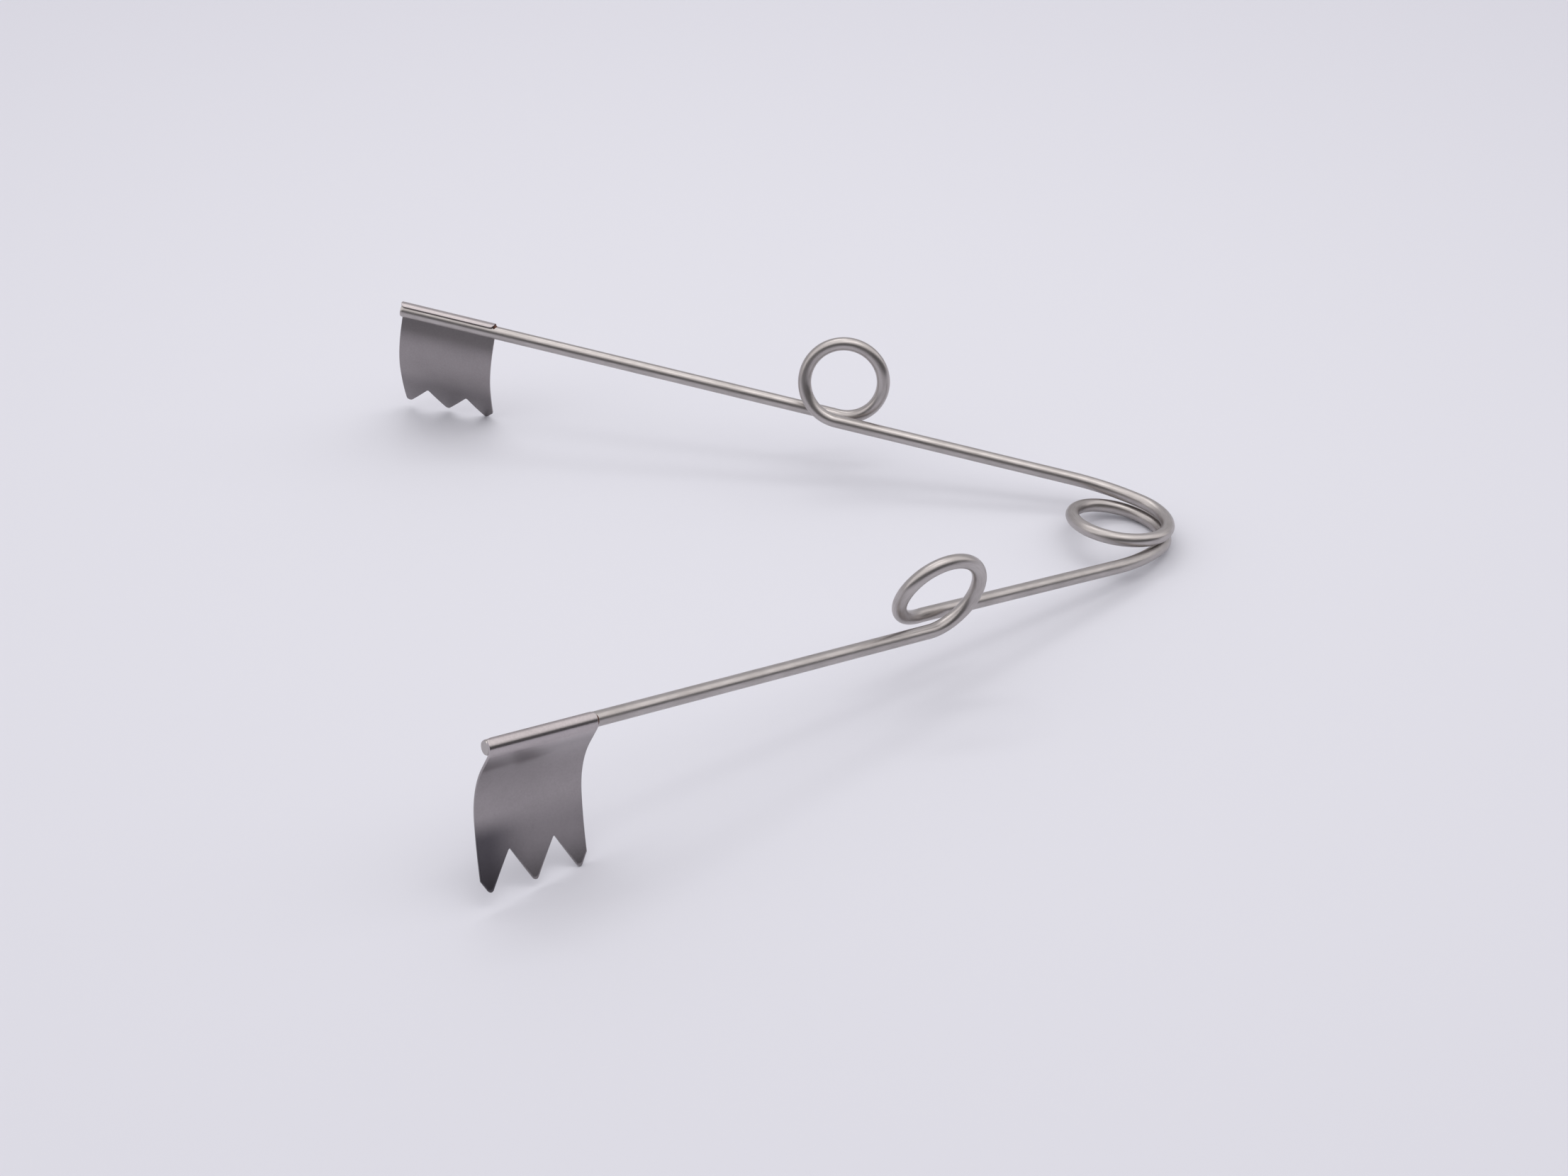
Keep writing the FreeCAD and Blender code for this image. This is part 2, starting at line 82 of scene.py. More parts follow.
def addNode(nodes, kind, **values):
    node = nodes.new(kind)
    for key, value in values.items():
        setattr(node, key, value)
    return node


def addMath(nodes, links, operation, *values, clamped=False):
    # Each value is a number, or the socket that feeds it
    node = addNode(nodes, "ShaderNodeMath", operation=operation, use_clamp=clamped)
    for socket, value in zip(node.inputs, values):
        if isinstance(value, (int, float)):
            socket.default_value = value
        else:
            links.new(value, socket)
    return node.outputs[0]


def addAttribute(nodes, name):
    return addNode(nodes, "ShaderNodeAttribute", attribute_name=name).outputs["Fac"]


def addNoise(nodes, links, place, scale, detail, roughness=0.5):
    noise = nodes.new("ShaderNodeTexNoise")
    noise.inputs["Scale"].default_value = scale
    noise.inputs["Detail"].default_value = detail
    noise.inputs["Roughness"].default_value = roughness
    links.new(place, noise.inputs["Vector"])
    return noise.outputs["Fac"]


def addRange(nodes, links, value, before, after=(0, 1), interpolation="LINEAR"):
    scaled = addNode(nodes, "ShaderNodeMapRange", interpolation_type=interpolation)
    for name, number in zip(("From Min", "From Max", "To Min", "To Max"), (*before, *after)):
        scaled.inputs[name].default_value = number
    links.new(value, scaled.inputs["Value"])
    return scaled.outputs["Result"]


def addTone(nodes, links, value, first, last):
    # Each end is a place between 0 and 1, and the colour there
    ramp = nodes.new("ShaderNodeValToRGB")
    for element, (place, colour) in zip(ramp.color_ramp.elements, (first, last)):
        element.position = place
        element.color = (*colour, 1)
    links.new(value, ramp.inputs["Fac"])
    return ramp.outputs["Color"]


def addTint(nodes, links, share, colour, tint):
    mix = addNode(nodes, "ShaderNodeMix", data_type="RGBA", blend_type="MULTIPLY")
    links.new(share, mix.inputs["Factor"])
    links.new(colour, mix.inputs["A"])
    mix.inputs["B"].default_value = (*tint, 1)
    return mix.outputs["Result"]


def addRelief(nodes, links, shader, height, strength, depth):
    relief = nodes.new("ShaderNodeBump")
    relief.inputs["Strength"].default_value = strength
    relief.inputs["Distance"].default_value = depth * mm
    links.new(height, relief.inputs["Height"])
    links.new(relief.outputs["Normal"], shader.inputs["Normal"])


wireSteel = {
    "dark": (0.385, 0.360, 0.350),
    "light": (0.492, 0.462, 0.453),
    "toneSpan": (0.33, 0.62),
    "polish": 0.29,
    "dulled": 0.38,
    "dullSpan": (0.3, 0.7),
    "drawMarks": 46.0,  # marks round the wire
    "markStretch": 0.9,  # marks per mm along it
    "markDetail": 4.0,
    "markShare": 0.55,  # of the tone, and the rest is stain
    "stain": 260.0,
    "stainDetail": 5.0,
    "relief": 0.10,
    "reliefDepth": 0.01,
}


def makeWireSteel(look):
    material, nodes, links, shader = newMaterial("drawn_spring_steel")
    # The marks lie along the wire: noise on a circle for the way round it, drawn out along it
    drawn = nodes.new("ShaderNodeCombineXYZ")
    stretch = addMath(nodes, links, "MULTIPLY", addAttribute(nodes, "wireAlong"), look["markStretch"] / mm)
    sweep = addMath(nodes, links, "MULTIPLY", addAttribute(nodes, "wireAround"), 2 * math.pi)
    for axis, operation in (("X", "COSINE"), ("Y", "SINE")):
        circle = addMath(nodes, links, operation, sweep)
        wide = addMath(nodes, links, "MULTIPLY", circle, look["drawMarks"] / (2 * math.pi))
        links.new(wide, drawn.inputs[axis])
    links.new(stretch, drawn.inputs["Z"])
    marks = addNoise(nodes, links, drawn.outputs[0], 1.0, look["markDetail"])
    place = nodes.new("ShaderNodeTexCoord").outputs["Object"]
    stain = addNoise(nodes, links, place, look["stain"], look["stainDetail"])
    stained = addMath(nodes, links, "MULTIPLY", stain, 1 - look["markShare"])
    mixed = addMath(nodes, links, "MULTIPLY_ADD", marks, look["markShare"], stained)
    first, last = look["toneSpan"]
    tone = addTone(nodes, links, mixed, (first, look["dark"]), (last, look["light"]))
    links.new(tone, shader.inputs["Base Color"])
    dull = addRange(nodes, links, stain, look["dullSpan"], (look["dulled"], look["polish"]))
    links.new(dull, shader.inputs["Roughness"])
    addRelief(nodes, links, shader, marks, look["relief"], look["reliefDepth"])
    shader.inputs["Metallic"].default_value = 1.0
    return material


bladeSteel = {
    "dark": (0.300, 0.277, 0.283),
    "light": (0.342, 0.316, 0.323),
    "toneSpan": (0.36, 0.62),
    # painted highlight: lightens the fold's colour
    "paintedHighlightTint": (1.42, 1.41, 1.40),
    # painted shade: darkens the teeth's colour
    "paintedShadeTint": (0.31, 0.31, 0.335),
    "polish": 0.205,
    "dulled": 0.22,
    "dullSpan": (0.3, 0.7),
    "grain": 5200.0,
    "grainDetail": 3.0,
    "grainShare": 0.45,  # of the tone, and the rest is cloud
    "cloud": 210.0,
    "cloudDetail": 6.0,
    "cloudRoughness": 0.6,
    "relief": 0.08,
    "reliefDepth": 0.01,
}


def makeBladeSteel(look):
    material, nodes, links, shader = newMaterial("satin_blade_steel")
    place = nodes.new("ShaderNodeTexCoord").outputs["Object"]
    grain = addNoise(nodes, links, place, look["grain"], look["grainDetail"])
    cloud = addNoise(nodes, links, place, look["cloud"], look["cloudDetail"], look["cloudRoughness"])
    clouded = addMath(nodes, links, "MULTIPLY", cloud, 1 - look["grainShare"])
    mixed = addMath(nodes, links, "MULTIPLY_ADD", grain, look["grainShare"], clouded)
    first, last = look["toneSpan"]
    tone = addTone(nodes, links, mixed, (first, look["dark"]), (last, look["light"]))
    # Painted highlight lightens the fold's colour, and painted shade darkens the teeth's colour
    highlighted = addTint(nodes, links, addAttribute(nodes, "foldPaintedHighlight"), tone, look["paintedHighlightTint"])
    shadePainted = addTint(nodes, links, addAttribute(nodes, "paintedToothShade"), highlighted, look["paintedShadeTint"])
    links.new(shadePainted, shader.inputs["Base Color"])
    dull = addRange(nodes, links, cloud, look["dullSpan"], (look["dulled"], look["polish"]))
    rough = addMath(nodes, links, "ADD", dull, addAttribute(nodes, "scuffing"))
    links.new(rough, shader.inputs["Roughness"])
    addRelief(nodes, links, shader, grain, look["relief"], look["reliefDepth"])
    shader.inputs["Metallic"].default_value = 1.0
    return material


brazeMetal = {
    "dark": (0.07, 0.025, 0.015),
    "light": (0.18, 0.08, 0.055),
    "toneSpan": (0.4, 0.62),
    "metallic": 0.8,
    "roughness": 0.55,
    "speckle": 2400.0,
    "speckleDetail": 4.0,
    "relief": 0.4,
    "reliefDepth": 0.02,
}


def makeBrazeMetal(look):
    material, nodes, links, shader = newMaterial("braze_metal")
    place = nodes.new("ShaderNodeTexCoord").outputs["Object"]
    speckle = addNoise(nodes, links, place, look["speckle"], look["speckleDetail"])
    first, last = look["toneSpan"]
    tone = addTone(nodes, links, speckle, (first, look["dark"]), (last, look["light"]))
    links.new(tone, shader.inputs["Base Color"])
    addRelief(nodes, links, shader, speckle, look["relief"], look["reliefDepth"])
    shader.inputs["Metallic"].default_value = look["metallic"]
    shader.inputs["Roughness"].default_value = look["roughness"]
    return material


springSteel = makeWireSteel(wireSteel)
satinSteel = makeBladeSteel(bladeSteel)
brazeFiller = makeBrazeMetal(brazeMetal)
print("materials made")

# The spring wire: one length from the near blade through the coil to the far blade. Sizes are in mm
# and degrees.

wireSizes = {
    "diameter": 1.5,
    "coilRadius": 5.285,
    "coilPitch": 1.665,
    "coilLead": 44.5,  # past the whole turn, at each end
    "coilLean": -2.5,
    "leadRadius": 21.4,
    "armSpread": 22.98,
    "armClimb": {"near": -1.46, "far": 0.8},
    "innerArm": 27.08,
    "jogRadius": 6.0,
    "ringRadius": 4.435,
    "ringShift": 2.24,
    "ringLean": {"near": 15.9, "far": 6.5},
    "outerArm": {"near": 52.05, "far": 51.78},
    "outerFlare": 0.48,
    "outerDroop": 0.26,
    "widestArc": 60,  # between two points of the line
    "lineResolution": 64,
    "endRounding": 0.08,
    "sides": 48,
    "step": 0.16,  # between cross-sections
}


class BentWire:
    # Grown stretch by stretch, each along the last one's direction, so it has no kink
    def __init__(self, point, direction):
        self.point = point
        self.direction = direction
        self.knots = [(point.copy(), direction.copy(), 0.0)]

    def addKnot(self, handle):
        self.knots[-1] = (*self.knots[-1], handle)
        self.knots.append((self.point.copy(), self.direction.copy(), handle))

    def straight(self, length):
        self.point = self.point + self.direction * length
        self.addKnot(length / 3)

    def bendTo(self, direction, radius):
        axis = self.direction.cross(direction).normalized()
        angle = self.direction.angle(direction)
        centre = self.point + axis.cross(self.direction) * radius
        self.point = centre + turned(self.point - centre, axis, angle)
        self.direction = direction.normalized()
        self.addKnot(4 / 3 * math.tan(angle / 4) * radius)

    def coilAbout(self, axis, radius, turn):
        arcs = arcCount(abs(turn))
        flatness = math.sin(self.direction.angle(axis))
        for _ in range(arcs):
            direction = turned(self.direction, axis, turn / arcs)
            halfBend = self.direction.angle(direction) / 2
            tighter = math.tan(abs(turn) / arcs / 2) / math.tan(halfBend) / flatness
            self.bendTo(direction, radius * tighter)


def arcCount(turn):
    return math.ceil(round(math.degrees(turn) / wireSizes["widestArc"], 6))


def coilSlope(radius, rise, turn):
    arcs = arcCount(turn)
    return math.atan2(rise, arcs * 2 * radius * math.tan(turn / arcs / 2))


coilTurn = math.radians(360 + 2 * wireSizes["coilLead"])
coilHeight = wireSizes["coilPitch"] * math.degrees(coilTurn) / 360
coilLeans = Matrix.Rotation(math.radians(wireSizes["coilLean"]), 3, "X")


def coilEnd(side):
    angle = math.radians(side * wireSizes["coilLead"])
    slope = coilSlope(wireSizes["coilRadius"], coilHeight, coilTurn)
    radial = Vector((math.cos(angle), math.sin(angle), 0))
    around = Vector((-math.sin(angle), math.cos(angle), 0))
    point = radial * wireSizes["coilRadius"] + Vector((0, 0, side * coilHeight / 2))
    climbing = around * math.cos(slope) + Vector((0, 0, math.sin(slope)))
    return coilLeans @ point, coilLeans @ (climbing * side)


def bendArm(name, side):
    path = BentWire(*coilEnd(side))
    spread = math.radians(wireSizes["armSpread"])
    climb = math.radians(wireSizes["armClimb"][name])
    level = Vector((-math.cos(spread), side * math.sin(spread), 0))
    along = level * math.cos(climb) + Vector((0, 0, math.sin(climb)))
    outwards = Vector((math.sin(spread), side * math.cos(spread), 0))
    up = along.cross(outwards) * -side
    path.bendTo(along, wireSizes["leadRadius"])
    path.straight(wireSizes["innerArm"])

    lean = math.radians(wireSizes["ringLean"][name])
    ringAxis = outwards * math.cos(lean) - up * math.sin(lean)
    slope = coilSlope(wireSizes["ringRadius"], wireSizes["ringShift"], 2 * math.pi)
    path.bendTo(along * math.cos(slope) + ringAxis * math.sin(slope), wireSizes["jogRadius"])
    path.coilAbout(ringAxis, wireSizes["ringRadius"], side * 2 * math.pi)

    flare = math.radians(wireSizes["outerFlare"])
    droop = math.radians(wireSizes["outerDroop"])
    flared = along * math.cos(flare) + outwards * math.sin(flare)
    path.bendTo(flared * math.cos(droop) - up * math.sin(droop), wireSizes["jogRadius"])
    path.straight(wireSizes["outerArm"][name])
    return path, outwards


def coilKnots():
    start, leaving = coilEnd(-1)
    path = BentWire(start, -leaving)
    path.coilAbout(coilLeans @ Vector((0, 0, 1)), wireSizes["coilRadius"], coilTurn)
    return path.knots


def handles(knot):
    point, direction, before, after = (*knot, 0.0)[:4]
    return point, point - direction * before, point + direction * after


def wireCurve(nearPath, farPath):
    # Down the near arm to the coil, round it, and out along the far arm
    line = []
    for knot in reversed(nearPath.knots):
        point, before, after = handles(knot)
        line.append((point, after, before))
    coil = [handles(knot) for knot in coilKnots()]
    far = [handles(knot) for knot in farPath.knots]
    line[-1] = (line[-1][0], line[-1][1], coil[0][2])
    line += coil[1:-1]
    line.append((coil[-1][0], coil[-1][1], far[0][2]))
    line += far[1:]
    curve = bpy.data.curves.new("spring_wire_line", "CURVE")
    curve.dimensions = "3D"
    spline = curve.splines.new("BEZIER")
    spline.bezier_points.add(len(line) - 1)
    for bead, (point, left, right) in zip(spline.bezier_points, line):
        bead.handle_left_type = bead.handle_right_type = "FREE"
        bead.co = standing @ point
        bead.handle_left = standing @ left
        bead.handle_right = standing @ right
    spline.resolution_u = wireSizes["lineResolution"]
    return curve


def wireTree():
    tree = bpy.data.node_groups.new("draw_the_wire", "GeometryNodeTree")
    for name, kind in (
        ("Line", "Geometry"), ("Radius", "Float"), ("Step", "Float"), ("End Rounding", "Float"),
        ("Sides", "Int"), ("Steel", "Material"),
    ):
        tree.interface.new_socket(name, in_out="INPUT", socket_type=f"NodeSocket{kind}")
    tree.interface.new_socket("Wire", in_out="OUTPUT", socket_type="NodeSocketGeometry")
    nodes = tree.nodes
    links = tree.links
    given = nodes.new("NodeGroupInput")
    result = nodes.new("NodeGroupOutput")

    resample = nodes.new("GeometryNodeResampleCurve")
    resample.mode = "LENGTH"
    links.new(given.outputs["Line"], resample.inputs["Curve"])
    links.new(given.outputs["Step"], resample.inputs["Length"])

    # A cut end is rounded off over its last bit
    place = nodes.new("GeometryNodeSplineParameter")
    length = nodes.new("GeometryNodeSplineLength")
    fromEnd = addMath(nodes, links, "SUBTRACT", length.outputs["Length"], place.outputs["Length"])
    nearest = addMath(nodes, links, "MINIMUM", place.outputs["Length"], fromEnd)
    rounding = given.outputs["End Rounding"]
    uncut = addMath(nodes, links, "DIVIDE", nearest, rounding, clamped=True)
    short = addMath(nodes, links, "SUBTRACT", 1.0, uncut)
    squared = addMath(nodes, links, "POWER", short, 2.0)
    lost = addMath(nodes, links, "MULTIPLY", squared, rounding)
    left = addMath(nodes, links, "SUBTRACT", given.outputs["Radius"], lost)

    circle = nodes.new("GeometryNodeCurvePrimitiveCircle")
    circle.inputs["Radius"].default_value = 1.0
    links.new(given.outputs["Sides"], circle.inputs["Resolution"])
    roundIt = nodes.new("GeometryNodeSplineParameter")
    named = []
    for name, curve, value in (
        ("wireAlong", resample.outputs["Curve"], place.outputs["Length"]),
        ("wireAround", circle.outputs["Curve"], roundIt.outputs["Factor"]),
    ):
        store = addNode(nodes, "GeometryNodeStoreNamedAttribute", data_type="FLOAT", domain="POINT")
        store.inputs["Name"].default_value = name
        links.new(curve, store.inputs["Geometry"])
        links.new(value, store.inputs["Value"])
        named.append(store.outputs["Geometry"])

    sweep = nodes.new("GeometryNodeCurveToMesh")
    sweep.inputs["Fill Caps"].default_value = True
    links.new(named[0], sweep.inputs["Curve"])
    links.new(named[1], sweep.inputs["Profile Curve"])
    links.new(left, sweep.inputs["Scale"])
    # The cut ends stay flat: they are the only faces with more than four corners
    smooth = nodes.new("GeometryNodeSetShadeSmooth")
    links.new(sweep.outputs["Mesh"], smooth.inputs["Geometry"])
    corners = nodes.new("GeometryNodeInputMeshFaceNeighbors")
    sideFace = addNode(nodes, "FunctionNodeCompare", data_type="INT", operation="LESS_EQUAL")
    sideFace.inputs["B"].default_value = 4
    links.new(corners.outputs["Vertex Count"], sideFace.inputs["A"])
    links.new(sideFace.outputs["Result"], smooth.inputs["Shade Smooth"])
    real = nodes.new("GeometryNodeRealizeInstances")
    links.new(smooth.outputs["Geometry"], real.inputs["Geometry"])
    finish = nodes.new("GeometryNodeSetMaterial")
    links.new(real.outputs["Geometry"], finish.inputs["Geometry"])
    links.new(given.outputs["Steel"], finish.inputs["Material"])
    links.new(finish.outputs["Geometry"], result.inputs["Wire"])
    return tree


def plainMesh(name, source):
    evaluated = source.evaluated_get(bpy.context.evaluated_depsgraph_get())
    mesh = bpy.data.meshes.new_from_object(evaluated)
    mesh.name = name
    bpy.data.objects.remove(source)
    piece = bpy.data.objects.new(name, mesh)
    bpy.context.scene.collection.objects.link(piece)
    return piece


def makeWire(nearPath, farPath):
    line = bpy.data.objects.new("wire_line", wireCurve(nearPath, farPath))
    bpy.context.scene.collection.objects.link(line)
    maker = line.modifiers.new("draw", "NODES")
    maker.node_group = wireTree()
    values = {
        "Radius": wireSizes["diameter"] / 2 * mm,
        "Step": wireSizes["step"] * mm,
        "End Rounding": wireSizes["endRounding"] * mm,
        "Sides": wireSizes["sides"],
        "Steel": springSteel,
    }
    for socket in maker.node_group.interface.items_tree:
        if socket.in_out == "INPUT" and socket.name in values:
            maker[socket.identifier] = values[socket.name]
    return plainMesh("spring_wire", line)


nearPath, nearOutwards = bendArm("near", -1)
farPath, farOutwards = bendArm("far", 1)
springWire = makeWire(nearPath, farPath)
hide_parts("near_arm", "apex_coil", "far_arm")
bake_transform(springWire)
print("spring wire drawn:", len(springWire.data.polygons), "faces")

# The blades: one strip of sheet each, folded over the wire, waisted under it and toothed

bladeSizes = {
    "thickness": 0.25,
    "gap": 0.03,
    "neckAngle": 22.2,  # the neck leans in by this much
    "neck": 2.12,
    "bellyRadius": 8.83,
    "bellyTurn": 44.6,
    "tipRadius": 0.32,
    "rootRadius": 0.15,
    "cornerRadius": 0.5,
    "sideLevel": 2.35,  # where the width is measured, above the curve's end
    "edgeRounding": 0.035,
    "edgeSegments": 2,
    "sharpestBend": 50,  # an edge that bends by more is rounded
    # the fold's painted highlight fades out over this length
    "paintedHighlightFade": 1.2,  # below the fold
    "tipLift": 0.02,  # the teeth end this much short of the solid's
    "sideInset": 0.055,  # at the wire's end, so that the softer knee stays inside the solid's box
    # The teeth's painted shade:
    "paintedShadeAcross": (0.08, 0.5),  # the teeth's shade changes between these shares of the width
    "paintedShadeDown": (-1.2, 1.4),  # and comes in between these distances past the knee
    "toothMargin": 0.6,  # the columns turn from the sides to the teeth this much above the roots
    "rowHeight": 0.22,
    "columnWidth": 0.2,
    "closest": 0.03,  # columns nearer than this are dropped
    "halvings": 40,  # to find where a side meets the teeth
    "fineSteps": 6,
    "fineReach": 1.05,  # of a tip's or root's radius
    "cornerRows": 4,
    "cornerLimit": 0.85,  # of the corner's radius
    "toothRows": 14,
}
# Angles: fold from outwards over the wire, splay about the wire, slants out of square. Easing is how
# far above the knee the curve starts to straighten, and the shade value how dark the teeth are
# painted, as painted shade, each at the outer and the inner side.
bladeShapes = {
    "near": {
        "side": -1, "fold": 90.0, "width": 11.6, "setback": -0.1, "splay": -1.0,
        "reach": 6.64, "pitch": 4.88, "depth": 4.05, "easing": (0.6, 0.8),
        "outerSlant": 0.0, "innerSlant": 0.0, "rowSlant": 0.0, "toothLean": 0.0,
        "paintedShadeDepth": (1.0, 0.26), "scuffing": 0.0,
    },
    "far": {
        "side": 1, "fold": 118.0, "width": 11.09, "setback": 0.17, "splay": 12.6,
        "reach": 5.65, "pitch": 4.8, "depth": 3.6, "easing": (0.9, 0.9),
        "outerSlant": 2.4, "innerSlant": 1.05, "rowSlant": 3.2, "toothLean": 6.0,
        "paintedShadeDepth": (0.30, 0.30), "scuffing": 0.17,
    },
}


def sheetLine(shape):
    # Stretches of the sheet's middle line, from the fold's free edge down to the teeth
    wrap = wireSizes["diameter"] / 2 + bladeSizes["gap"] + bladeSizes["thickness"] / 2
    neckAngle = math.radians(bladeSizes["neckAngle"])
    fold = math.radians(shape["fold"])
    belly = bladeSizes["bellyRadius"]
    turn = math.radians(bladeSizes["bellyTurn"])
    neck = Vector((-math.sin(neckAngle), -math.cos(neckAngle)))
    neckOut = Vector((math.cos(neckAngle), -math.sin(neckAngle)))
    neckTop = neckOut * wrap
    neckFoot = neckTop + neck * bladeSizes["neck"]
    bellyCentre = neckFoot + neckOut * belly
    toothAngle = neckAngle - turn
    tooth = Vector((-math.sin(toothAngle), -math.cos(toothAngle)))
    toothOut = Vector((math.cos(toothAngle), -math.sin(toothAngle)))
    knee = bellyCentre - toothOut * belly
    foldLength = wrap * (fold + neckAngle)
    neckLength = bladeSizes["neck"]
    bellyLength = belly * turn

    def at(s, easing):
        # A point of the sheet's middle line and the way outwards there, s from the free edge. The
        # belly straightens little by little from easing above the knee.
        if s < foldLength:
            angle = fold - s / wrap
            out = Vector((math.cos(angle), math.sin(angle)))
            return out * wrap, out
        s -= foldLength
        if s < neckLength:
            return neckTop + neck * s, neckOut
        s -= neckLength
        bent = bellyLength - easing
        firstAngle = neckAngle - min(s, bent) / belly
        firstOut = Vector((math.cos(firstAngle), -math.sin(firstAngle)))
        point = bellyCentre - firstOut * belly
        if s < bent:
            return point, firstOut
        eased = easing / belly
        rise = belly * (1 - math.cos(eased)) + shape["reach"] * math.sin(eased)
        slow = (easing + shape["reach"]) ** 2 / (2 * rise)
        angle = firstAngle - (s - bent) / slow
        out = Vector((math.cos(angle), -math.sin(angle)))
        return point + (firstOut - out) * slow, out

    def height(point):
        # above the curve's end, along the flat of the teeth
        return (knee - point).dot(tooth)

    return at, height, foldLength, foldLength + neckLength + bellyLength


def roundedZigzag(u, shape):
    # How far the toothed edge reaches past the knee, at u along the wire
    pitch = shape["pitch"]
    depth = shape["depth"]
    slope = 2 * depth / pitch
    steep = math.sqrt(1 + slope * slope)
    v = abs((u - shape["width"] / 2 + pitch / 2) % pitch - pitch / 2)
    tip = bladeSizes["tipRadius"]
    if v < tip * slope / steep:
        return shape["reach"] - tip * (steep - 1) - (tip - math.sqrt(tip * tip - v * v))
    root = bladeSizes["rootRadius"]
    w = pitch / 2 - v
    if w < root * slope / steep:
        return shape["reach"] - depth + root * (steep - 1) + (root - math.sqrt(root * root - w * w))
    return shape["reach"] - slope * v


def toothedEdge(v, shape):
    # The edge's point for a place v along the row of teeth: along the wire, and up the sheet
    level = -roundedZigzag(v + shape["width"] / 2, shape)
    lean = math.tan(math.radians(shape["toothLean"]))
    v += lean * (level + shape["reach"] - shape["depth"])
    row = math.radians(shape["rowSlant"])
    return v * math.cos(row) - level * math.sin(row), v * math.sin(row) + level * math.cos(row)


def sideLine(end, level, shape):
    # Where a side of the blade runs at this height: end is -1 at the wire's end, 1 towards the coil
    angle = math.radians(shape["outerSlant" if end < 0 else "innerSlant"])
    drift = (level - bladeSizes["sideLevel"]) * math.sin(angle)
    return (end * shape["width"] / 2 - drift) / math.cos(angle)


def sideMeetsTeeth(end, shape):
    low, high = 0.0, end * shape["width"]
    for _ in range(bladeSizes["halvings"]):
        v = (low + high) / 2
        x, level = toothedEdge(v, shape)
        if end * (x - sideLine(end, level, shape)) < 0:
            low = v
        else:
            high = v
    return low


def columnPlaces(shape):
    # Evenly spaced, with more of them at the teeth's points, the notches' roots and the corners
    start = sideMeetsTeeth(-1, shape)
    end = sideMeetsTeeth(1, shape)
    count = math.ceil((end - start) / bladeSizes["columnWidth"])
    places = {start + (end - start) * k / count for k in range(count + 1)}
    fine = bladeSizes["fineSteps"]
    for k in range(-2, 3):  # teeth, counted from the middle one
        for middle, radius in ((0, bladeSizes["tipRadius"]), (0.5, bladeSizes["rootRadius"])):
            centre = (k + middle) * shape["pitch"]
            reach = radius * bladeSizes["fineReach"]
            places |= {centre + reach * j / fine for j in range(-fine, fine + 1)}
    corner = bladeSizes["cornerRadius"]
    for j in range(fine + 1):
        bite = corner * (1 - math.cos(math.pi / 2 * j / fine))
        places |= {start + bite, end - bite}
    ordered = sorted(p for p in places if start <= p <= end)
    kept = [ordered[0]]
    for p in ordered[1:]:
        if p - kept[-1] > bladeSizes["closest"]:
            kept.append(p)
    kept[-1] = end
    return kept


def clamped(value):
    return min(max(value, 0), 1)


def bladeTones(shape, foldEnd, kneeAt):
    # The fold's painted highlight: full on the fold, fading out below it
    def paintedHighlightAt(s):
        fade = bladeSizes["paintedHighlightFade"]
        return clamped((foldEnd + fade - s) / fade)

    # The teeth's painted shade: fades in past the knee, its strength set at each side
    def paintedShadeAt(share, s):
        outer, inner = shape["paintedShadeDepth"]
        first, last = bladeSizes["paintedShadeAcross"]
        across = clamped((share - first) / (last - first))
        strength = outer + (inner - outer) * across * across * (3 - 2 * across)
        first, last = bladeSizes["paintedShadeDown"]
        down = clamped((s - kneeAt - first) / (last - first))
        return strength * down * down * (3 - 2 * down)

    return paintedHighlightAt, paintedShadeAt


def facesOutwards(piece):
    tidy = bmesh.new()
    tidy.from_mesh(piece.data)
    bmesh.ops.recalc_face_normals(tidy, faces=tidy.faces)
    tidy.to_mesh(piece.data)
    tidy.free()
    piece.data.shade_smooth()


def bladeSeat(path, outwards, shape):
    # Where the sheet's drawing sits on the wire's end: X points outwards and Z along the wire
    end = path.point - path.direction * shape["setback"]
    axis = path.direction * -shape["side"]
    across = (outwards - axis * outwards.dot(axis)).normalized()
    seat = Matrix((across, axis.cross(across), axis)).transposed().to_4x4()
    return Matrix.Translation(end) @ seat @ Matrix.Rotation(math.radians(shape["splay"]), 4, "Z")


def sheetGrid(shape, at, height, kneeAt):
    # Column by column along the wire: the column's share of the width, and its points from the fold's
    # free edge to the teeth, each with its way down the sheet, its place along the wire and the easing
    corner = bladeSizes["cornerRadius"]
    rootLevel = shape["depth"] - shape["reach"] + bladeSizes["toothMargin"]
    wallEnd = kneeAt - rootLevel
    wallRows = math.ceil((wallEnd - corner) / bladeSizes["rowHeight"])
    cornerRows = bladeSizes["cornerRows"]
    toothRows = bladeSizes["toothRows"]
    outerEasing, innerEasing = shape["easing"]

    def alongAt(share, level):
        outer = sideLine(-1, level, shape) + bladeSizes["sideInset"]
        return outer + (sideLine(1, level, shape) - outer) * share

    places = columnPlaces(shape)
    grid = []
    for v in places:
        share = (v - places[0]) / (places[-1] - places[0])
        edge = min(v - places[0], places[-1] - v)
        start = corner - math.sqrt(max(corner ** 2 - (corner - edge) ** 2, 0)) if edge < corner else 0
        start = min(start, corner * bladeSizes["cornerLimit"])
        footAlong, footLevel = toothedEdge(v, shape)
        footLevel += bladeSizes["tipLift"]
        footAlong += bladeSizes["sideInset"] * (1 - share)
        easing = outerEasing + (innerEasing - outerEasing) * share
        rows = [start + (corner - start) * j / cornerRows for j in range(cornerRows)]
        rows += [corner + (wallEnd - corner) * j / wallRows for j in range(wallRows)]
        column = [(s, alongAt(share, height(at(s, easing)[0])), easing) for s in rows]
        top = alongAt(share, rootLevel)
        for j in range(toothRows + 1):
            down = j / toothRows
            level = rootLevel + (footLevel - rootLevel) * down
            column.append((kneeAt - level, top + (footAlong - top) * down, easing))
        grid.append((share, column))
    return grid


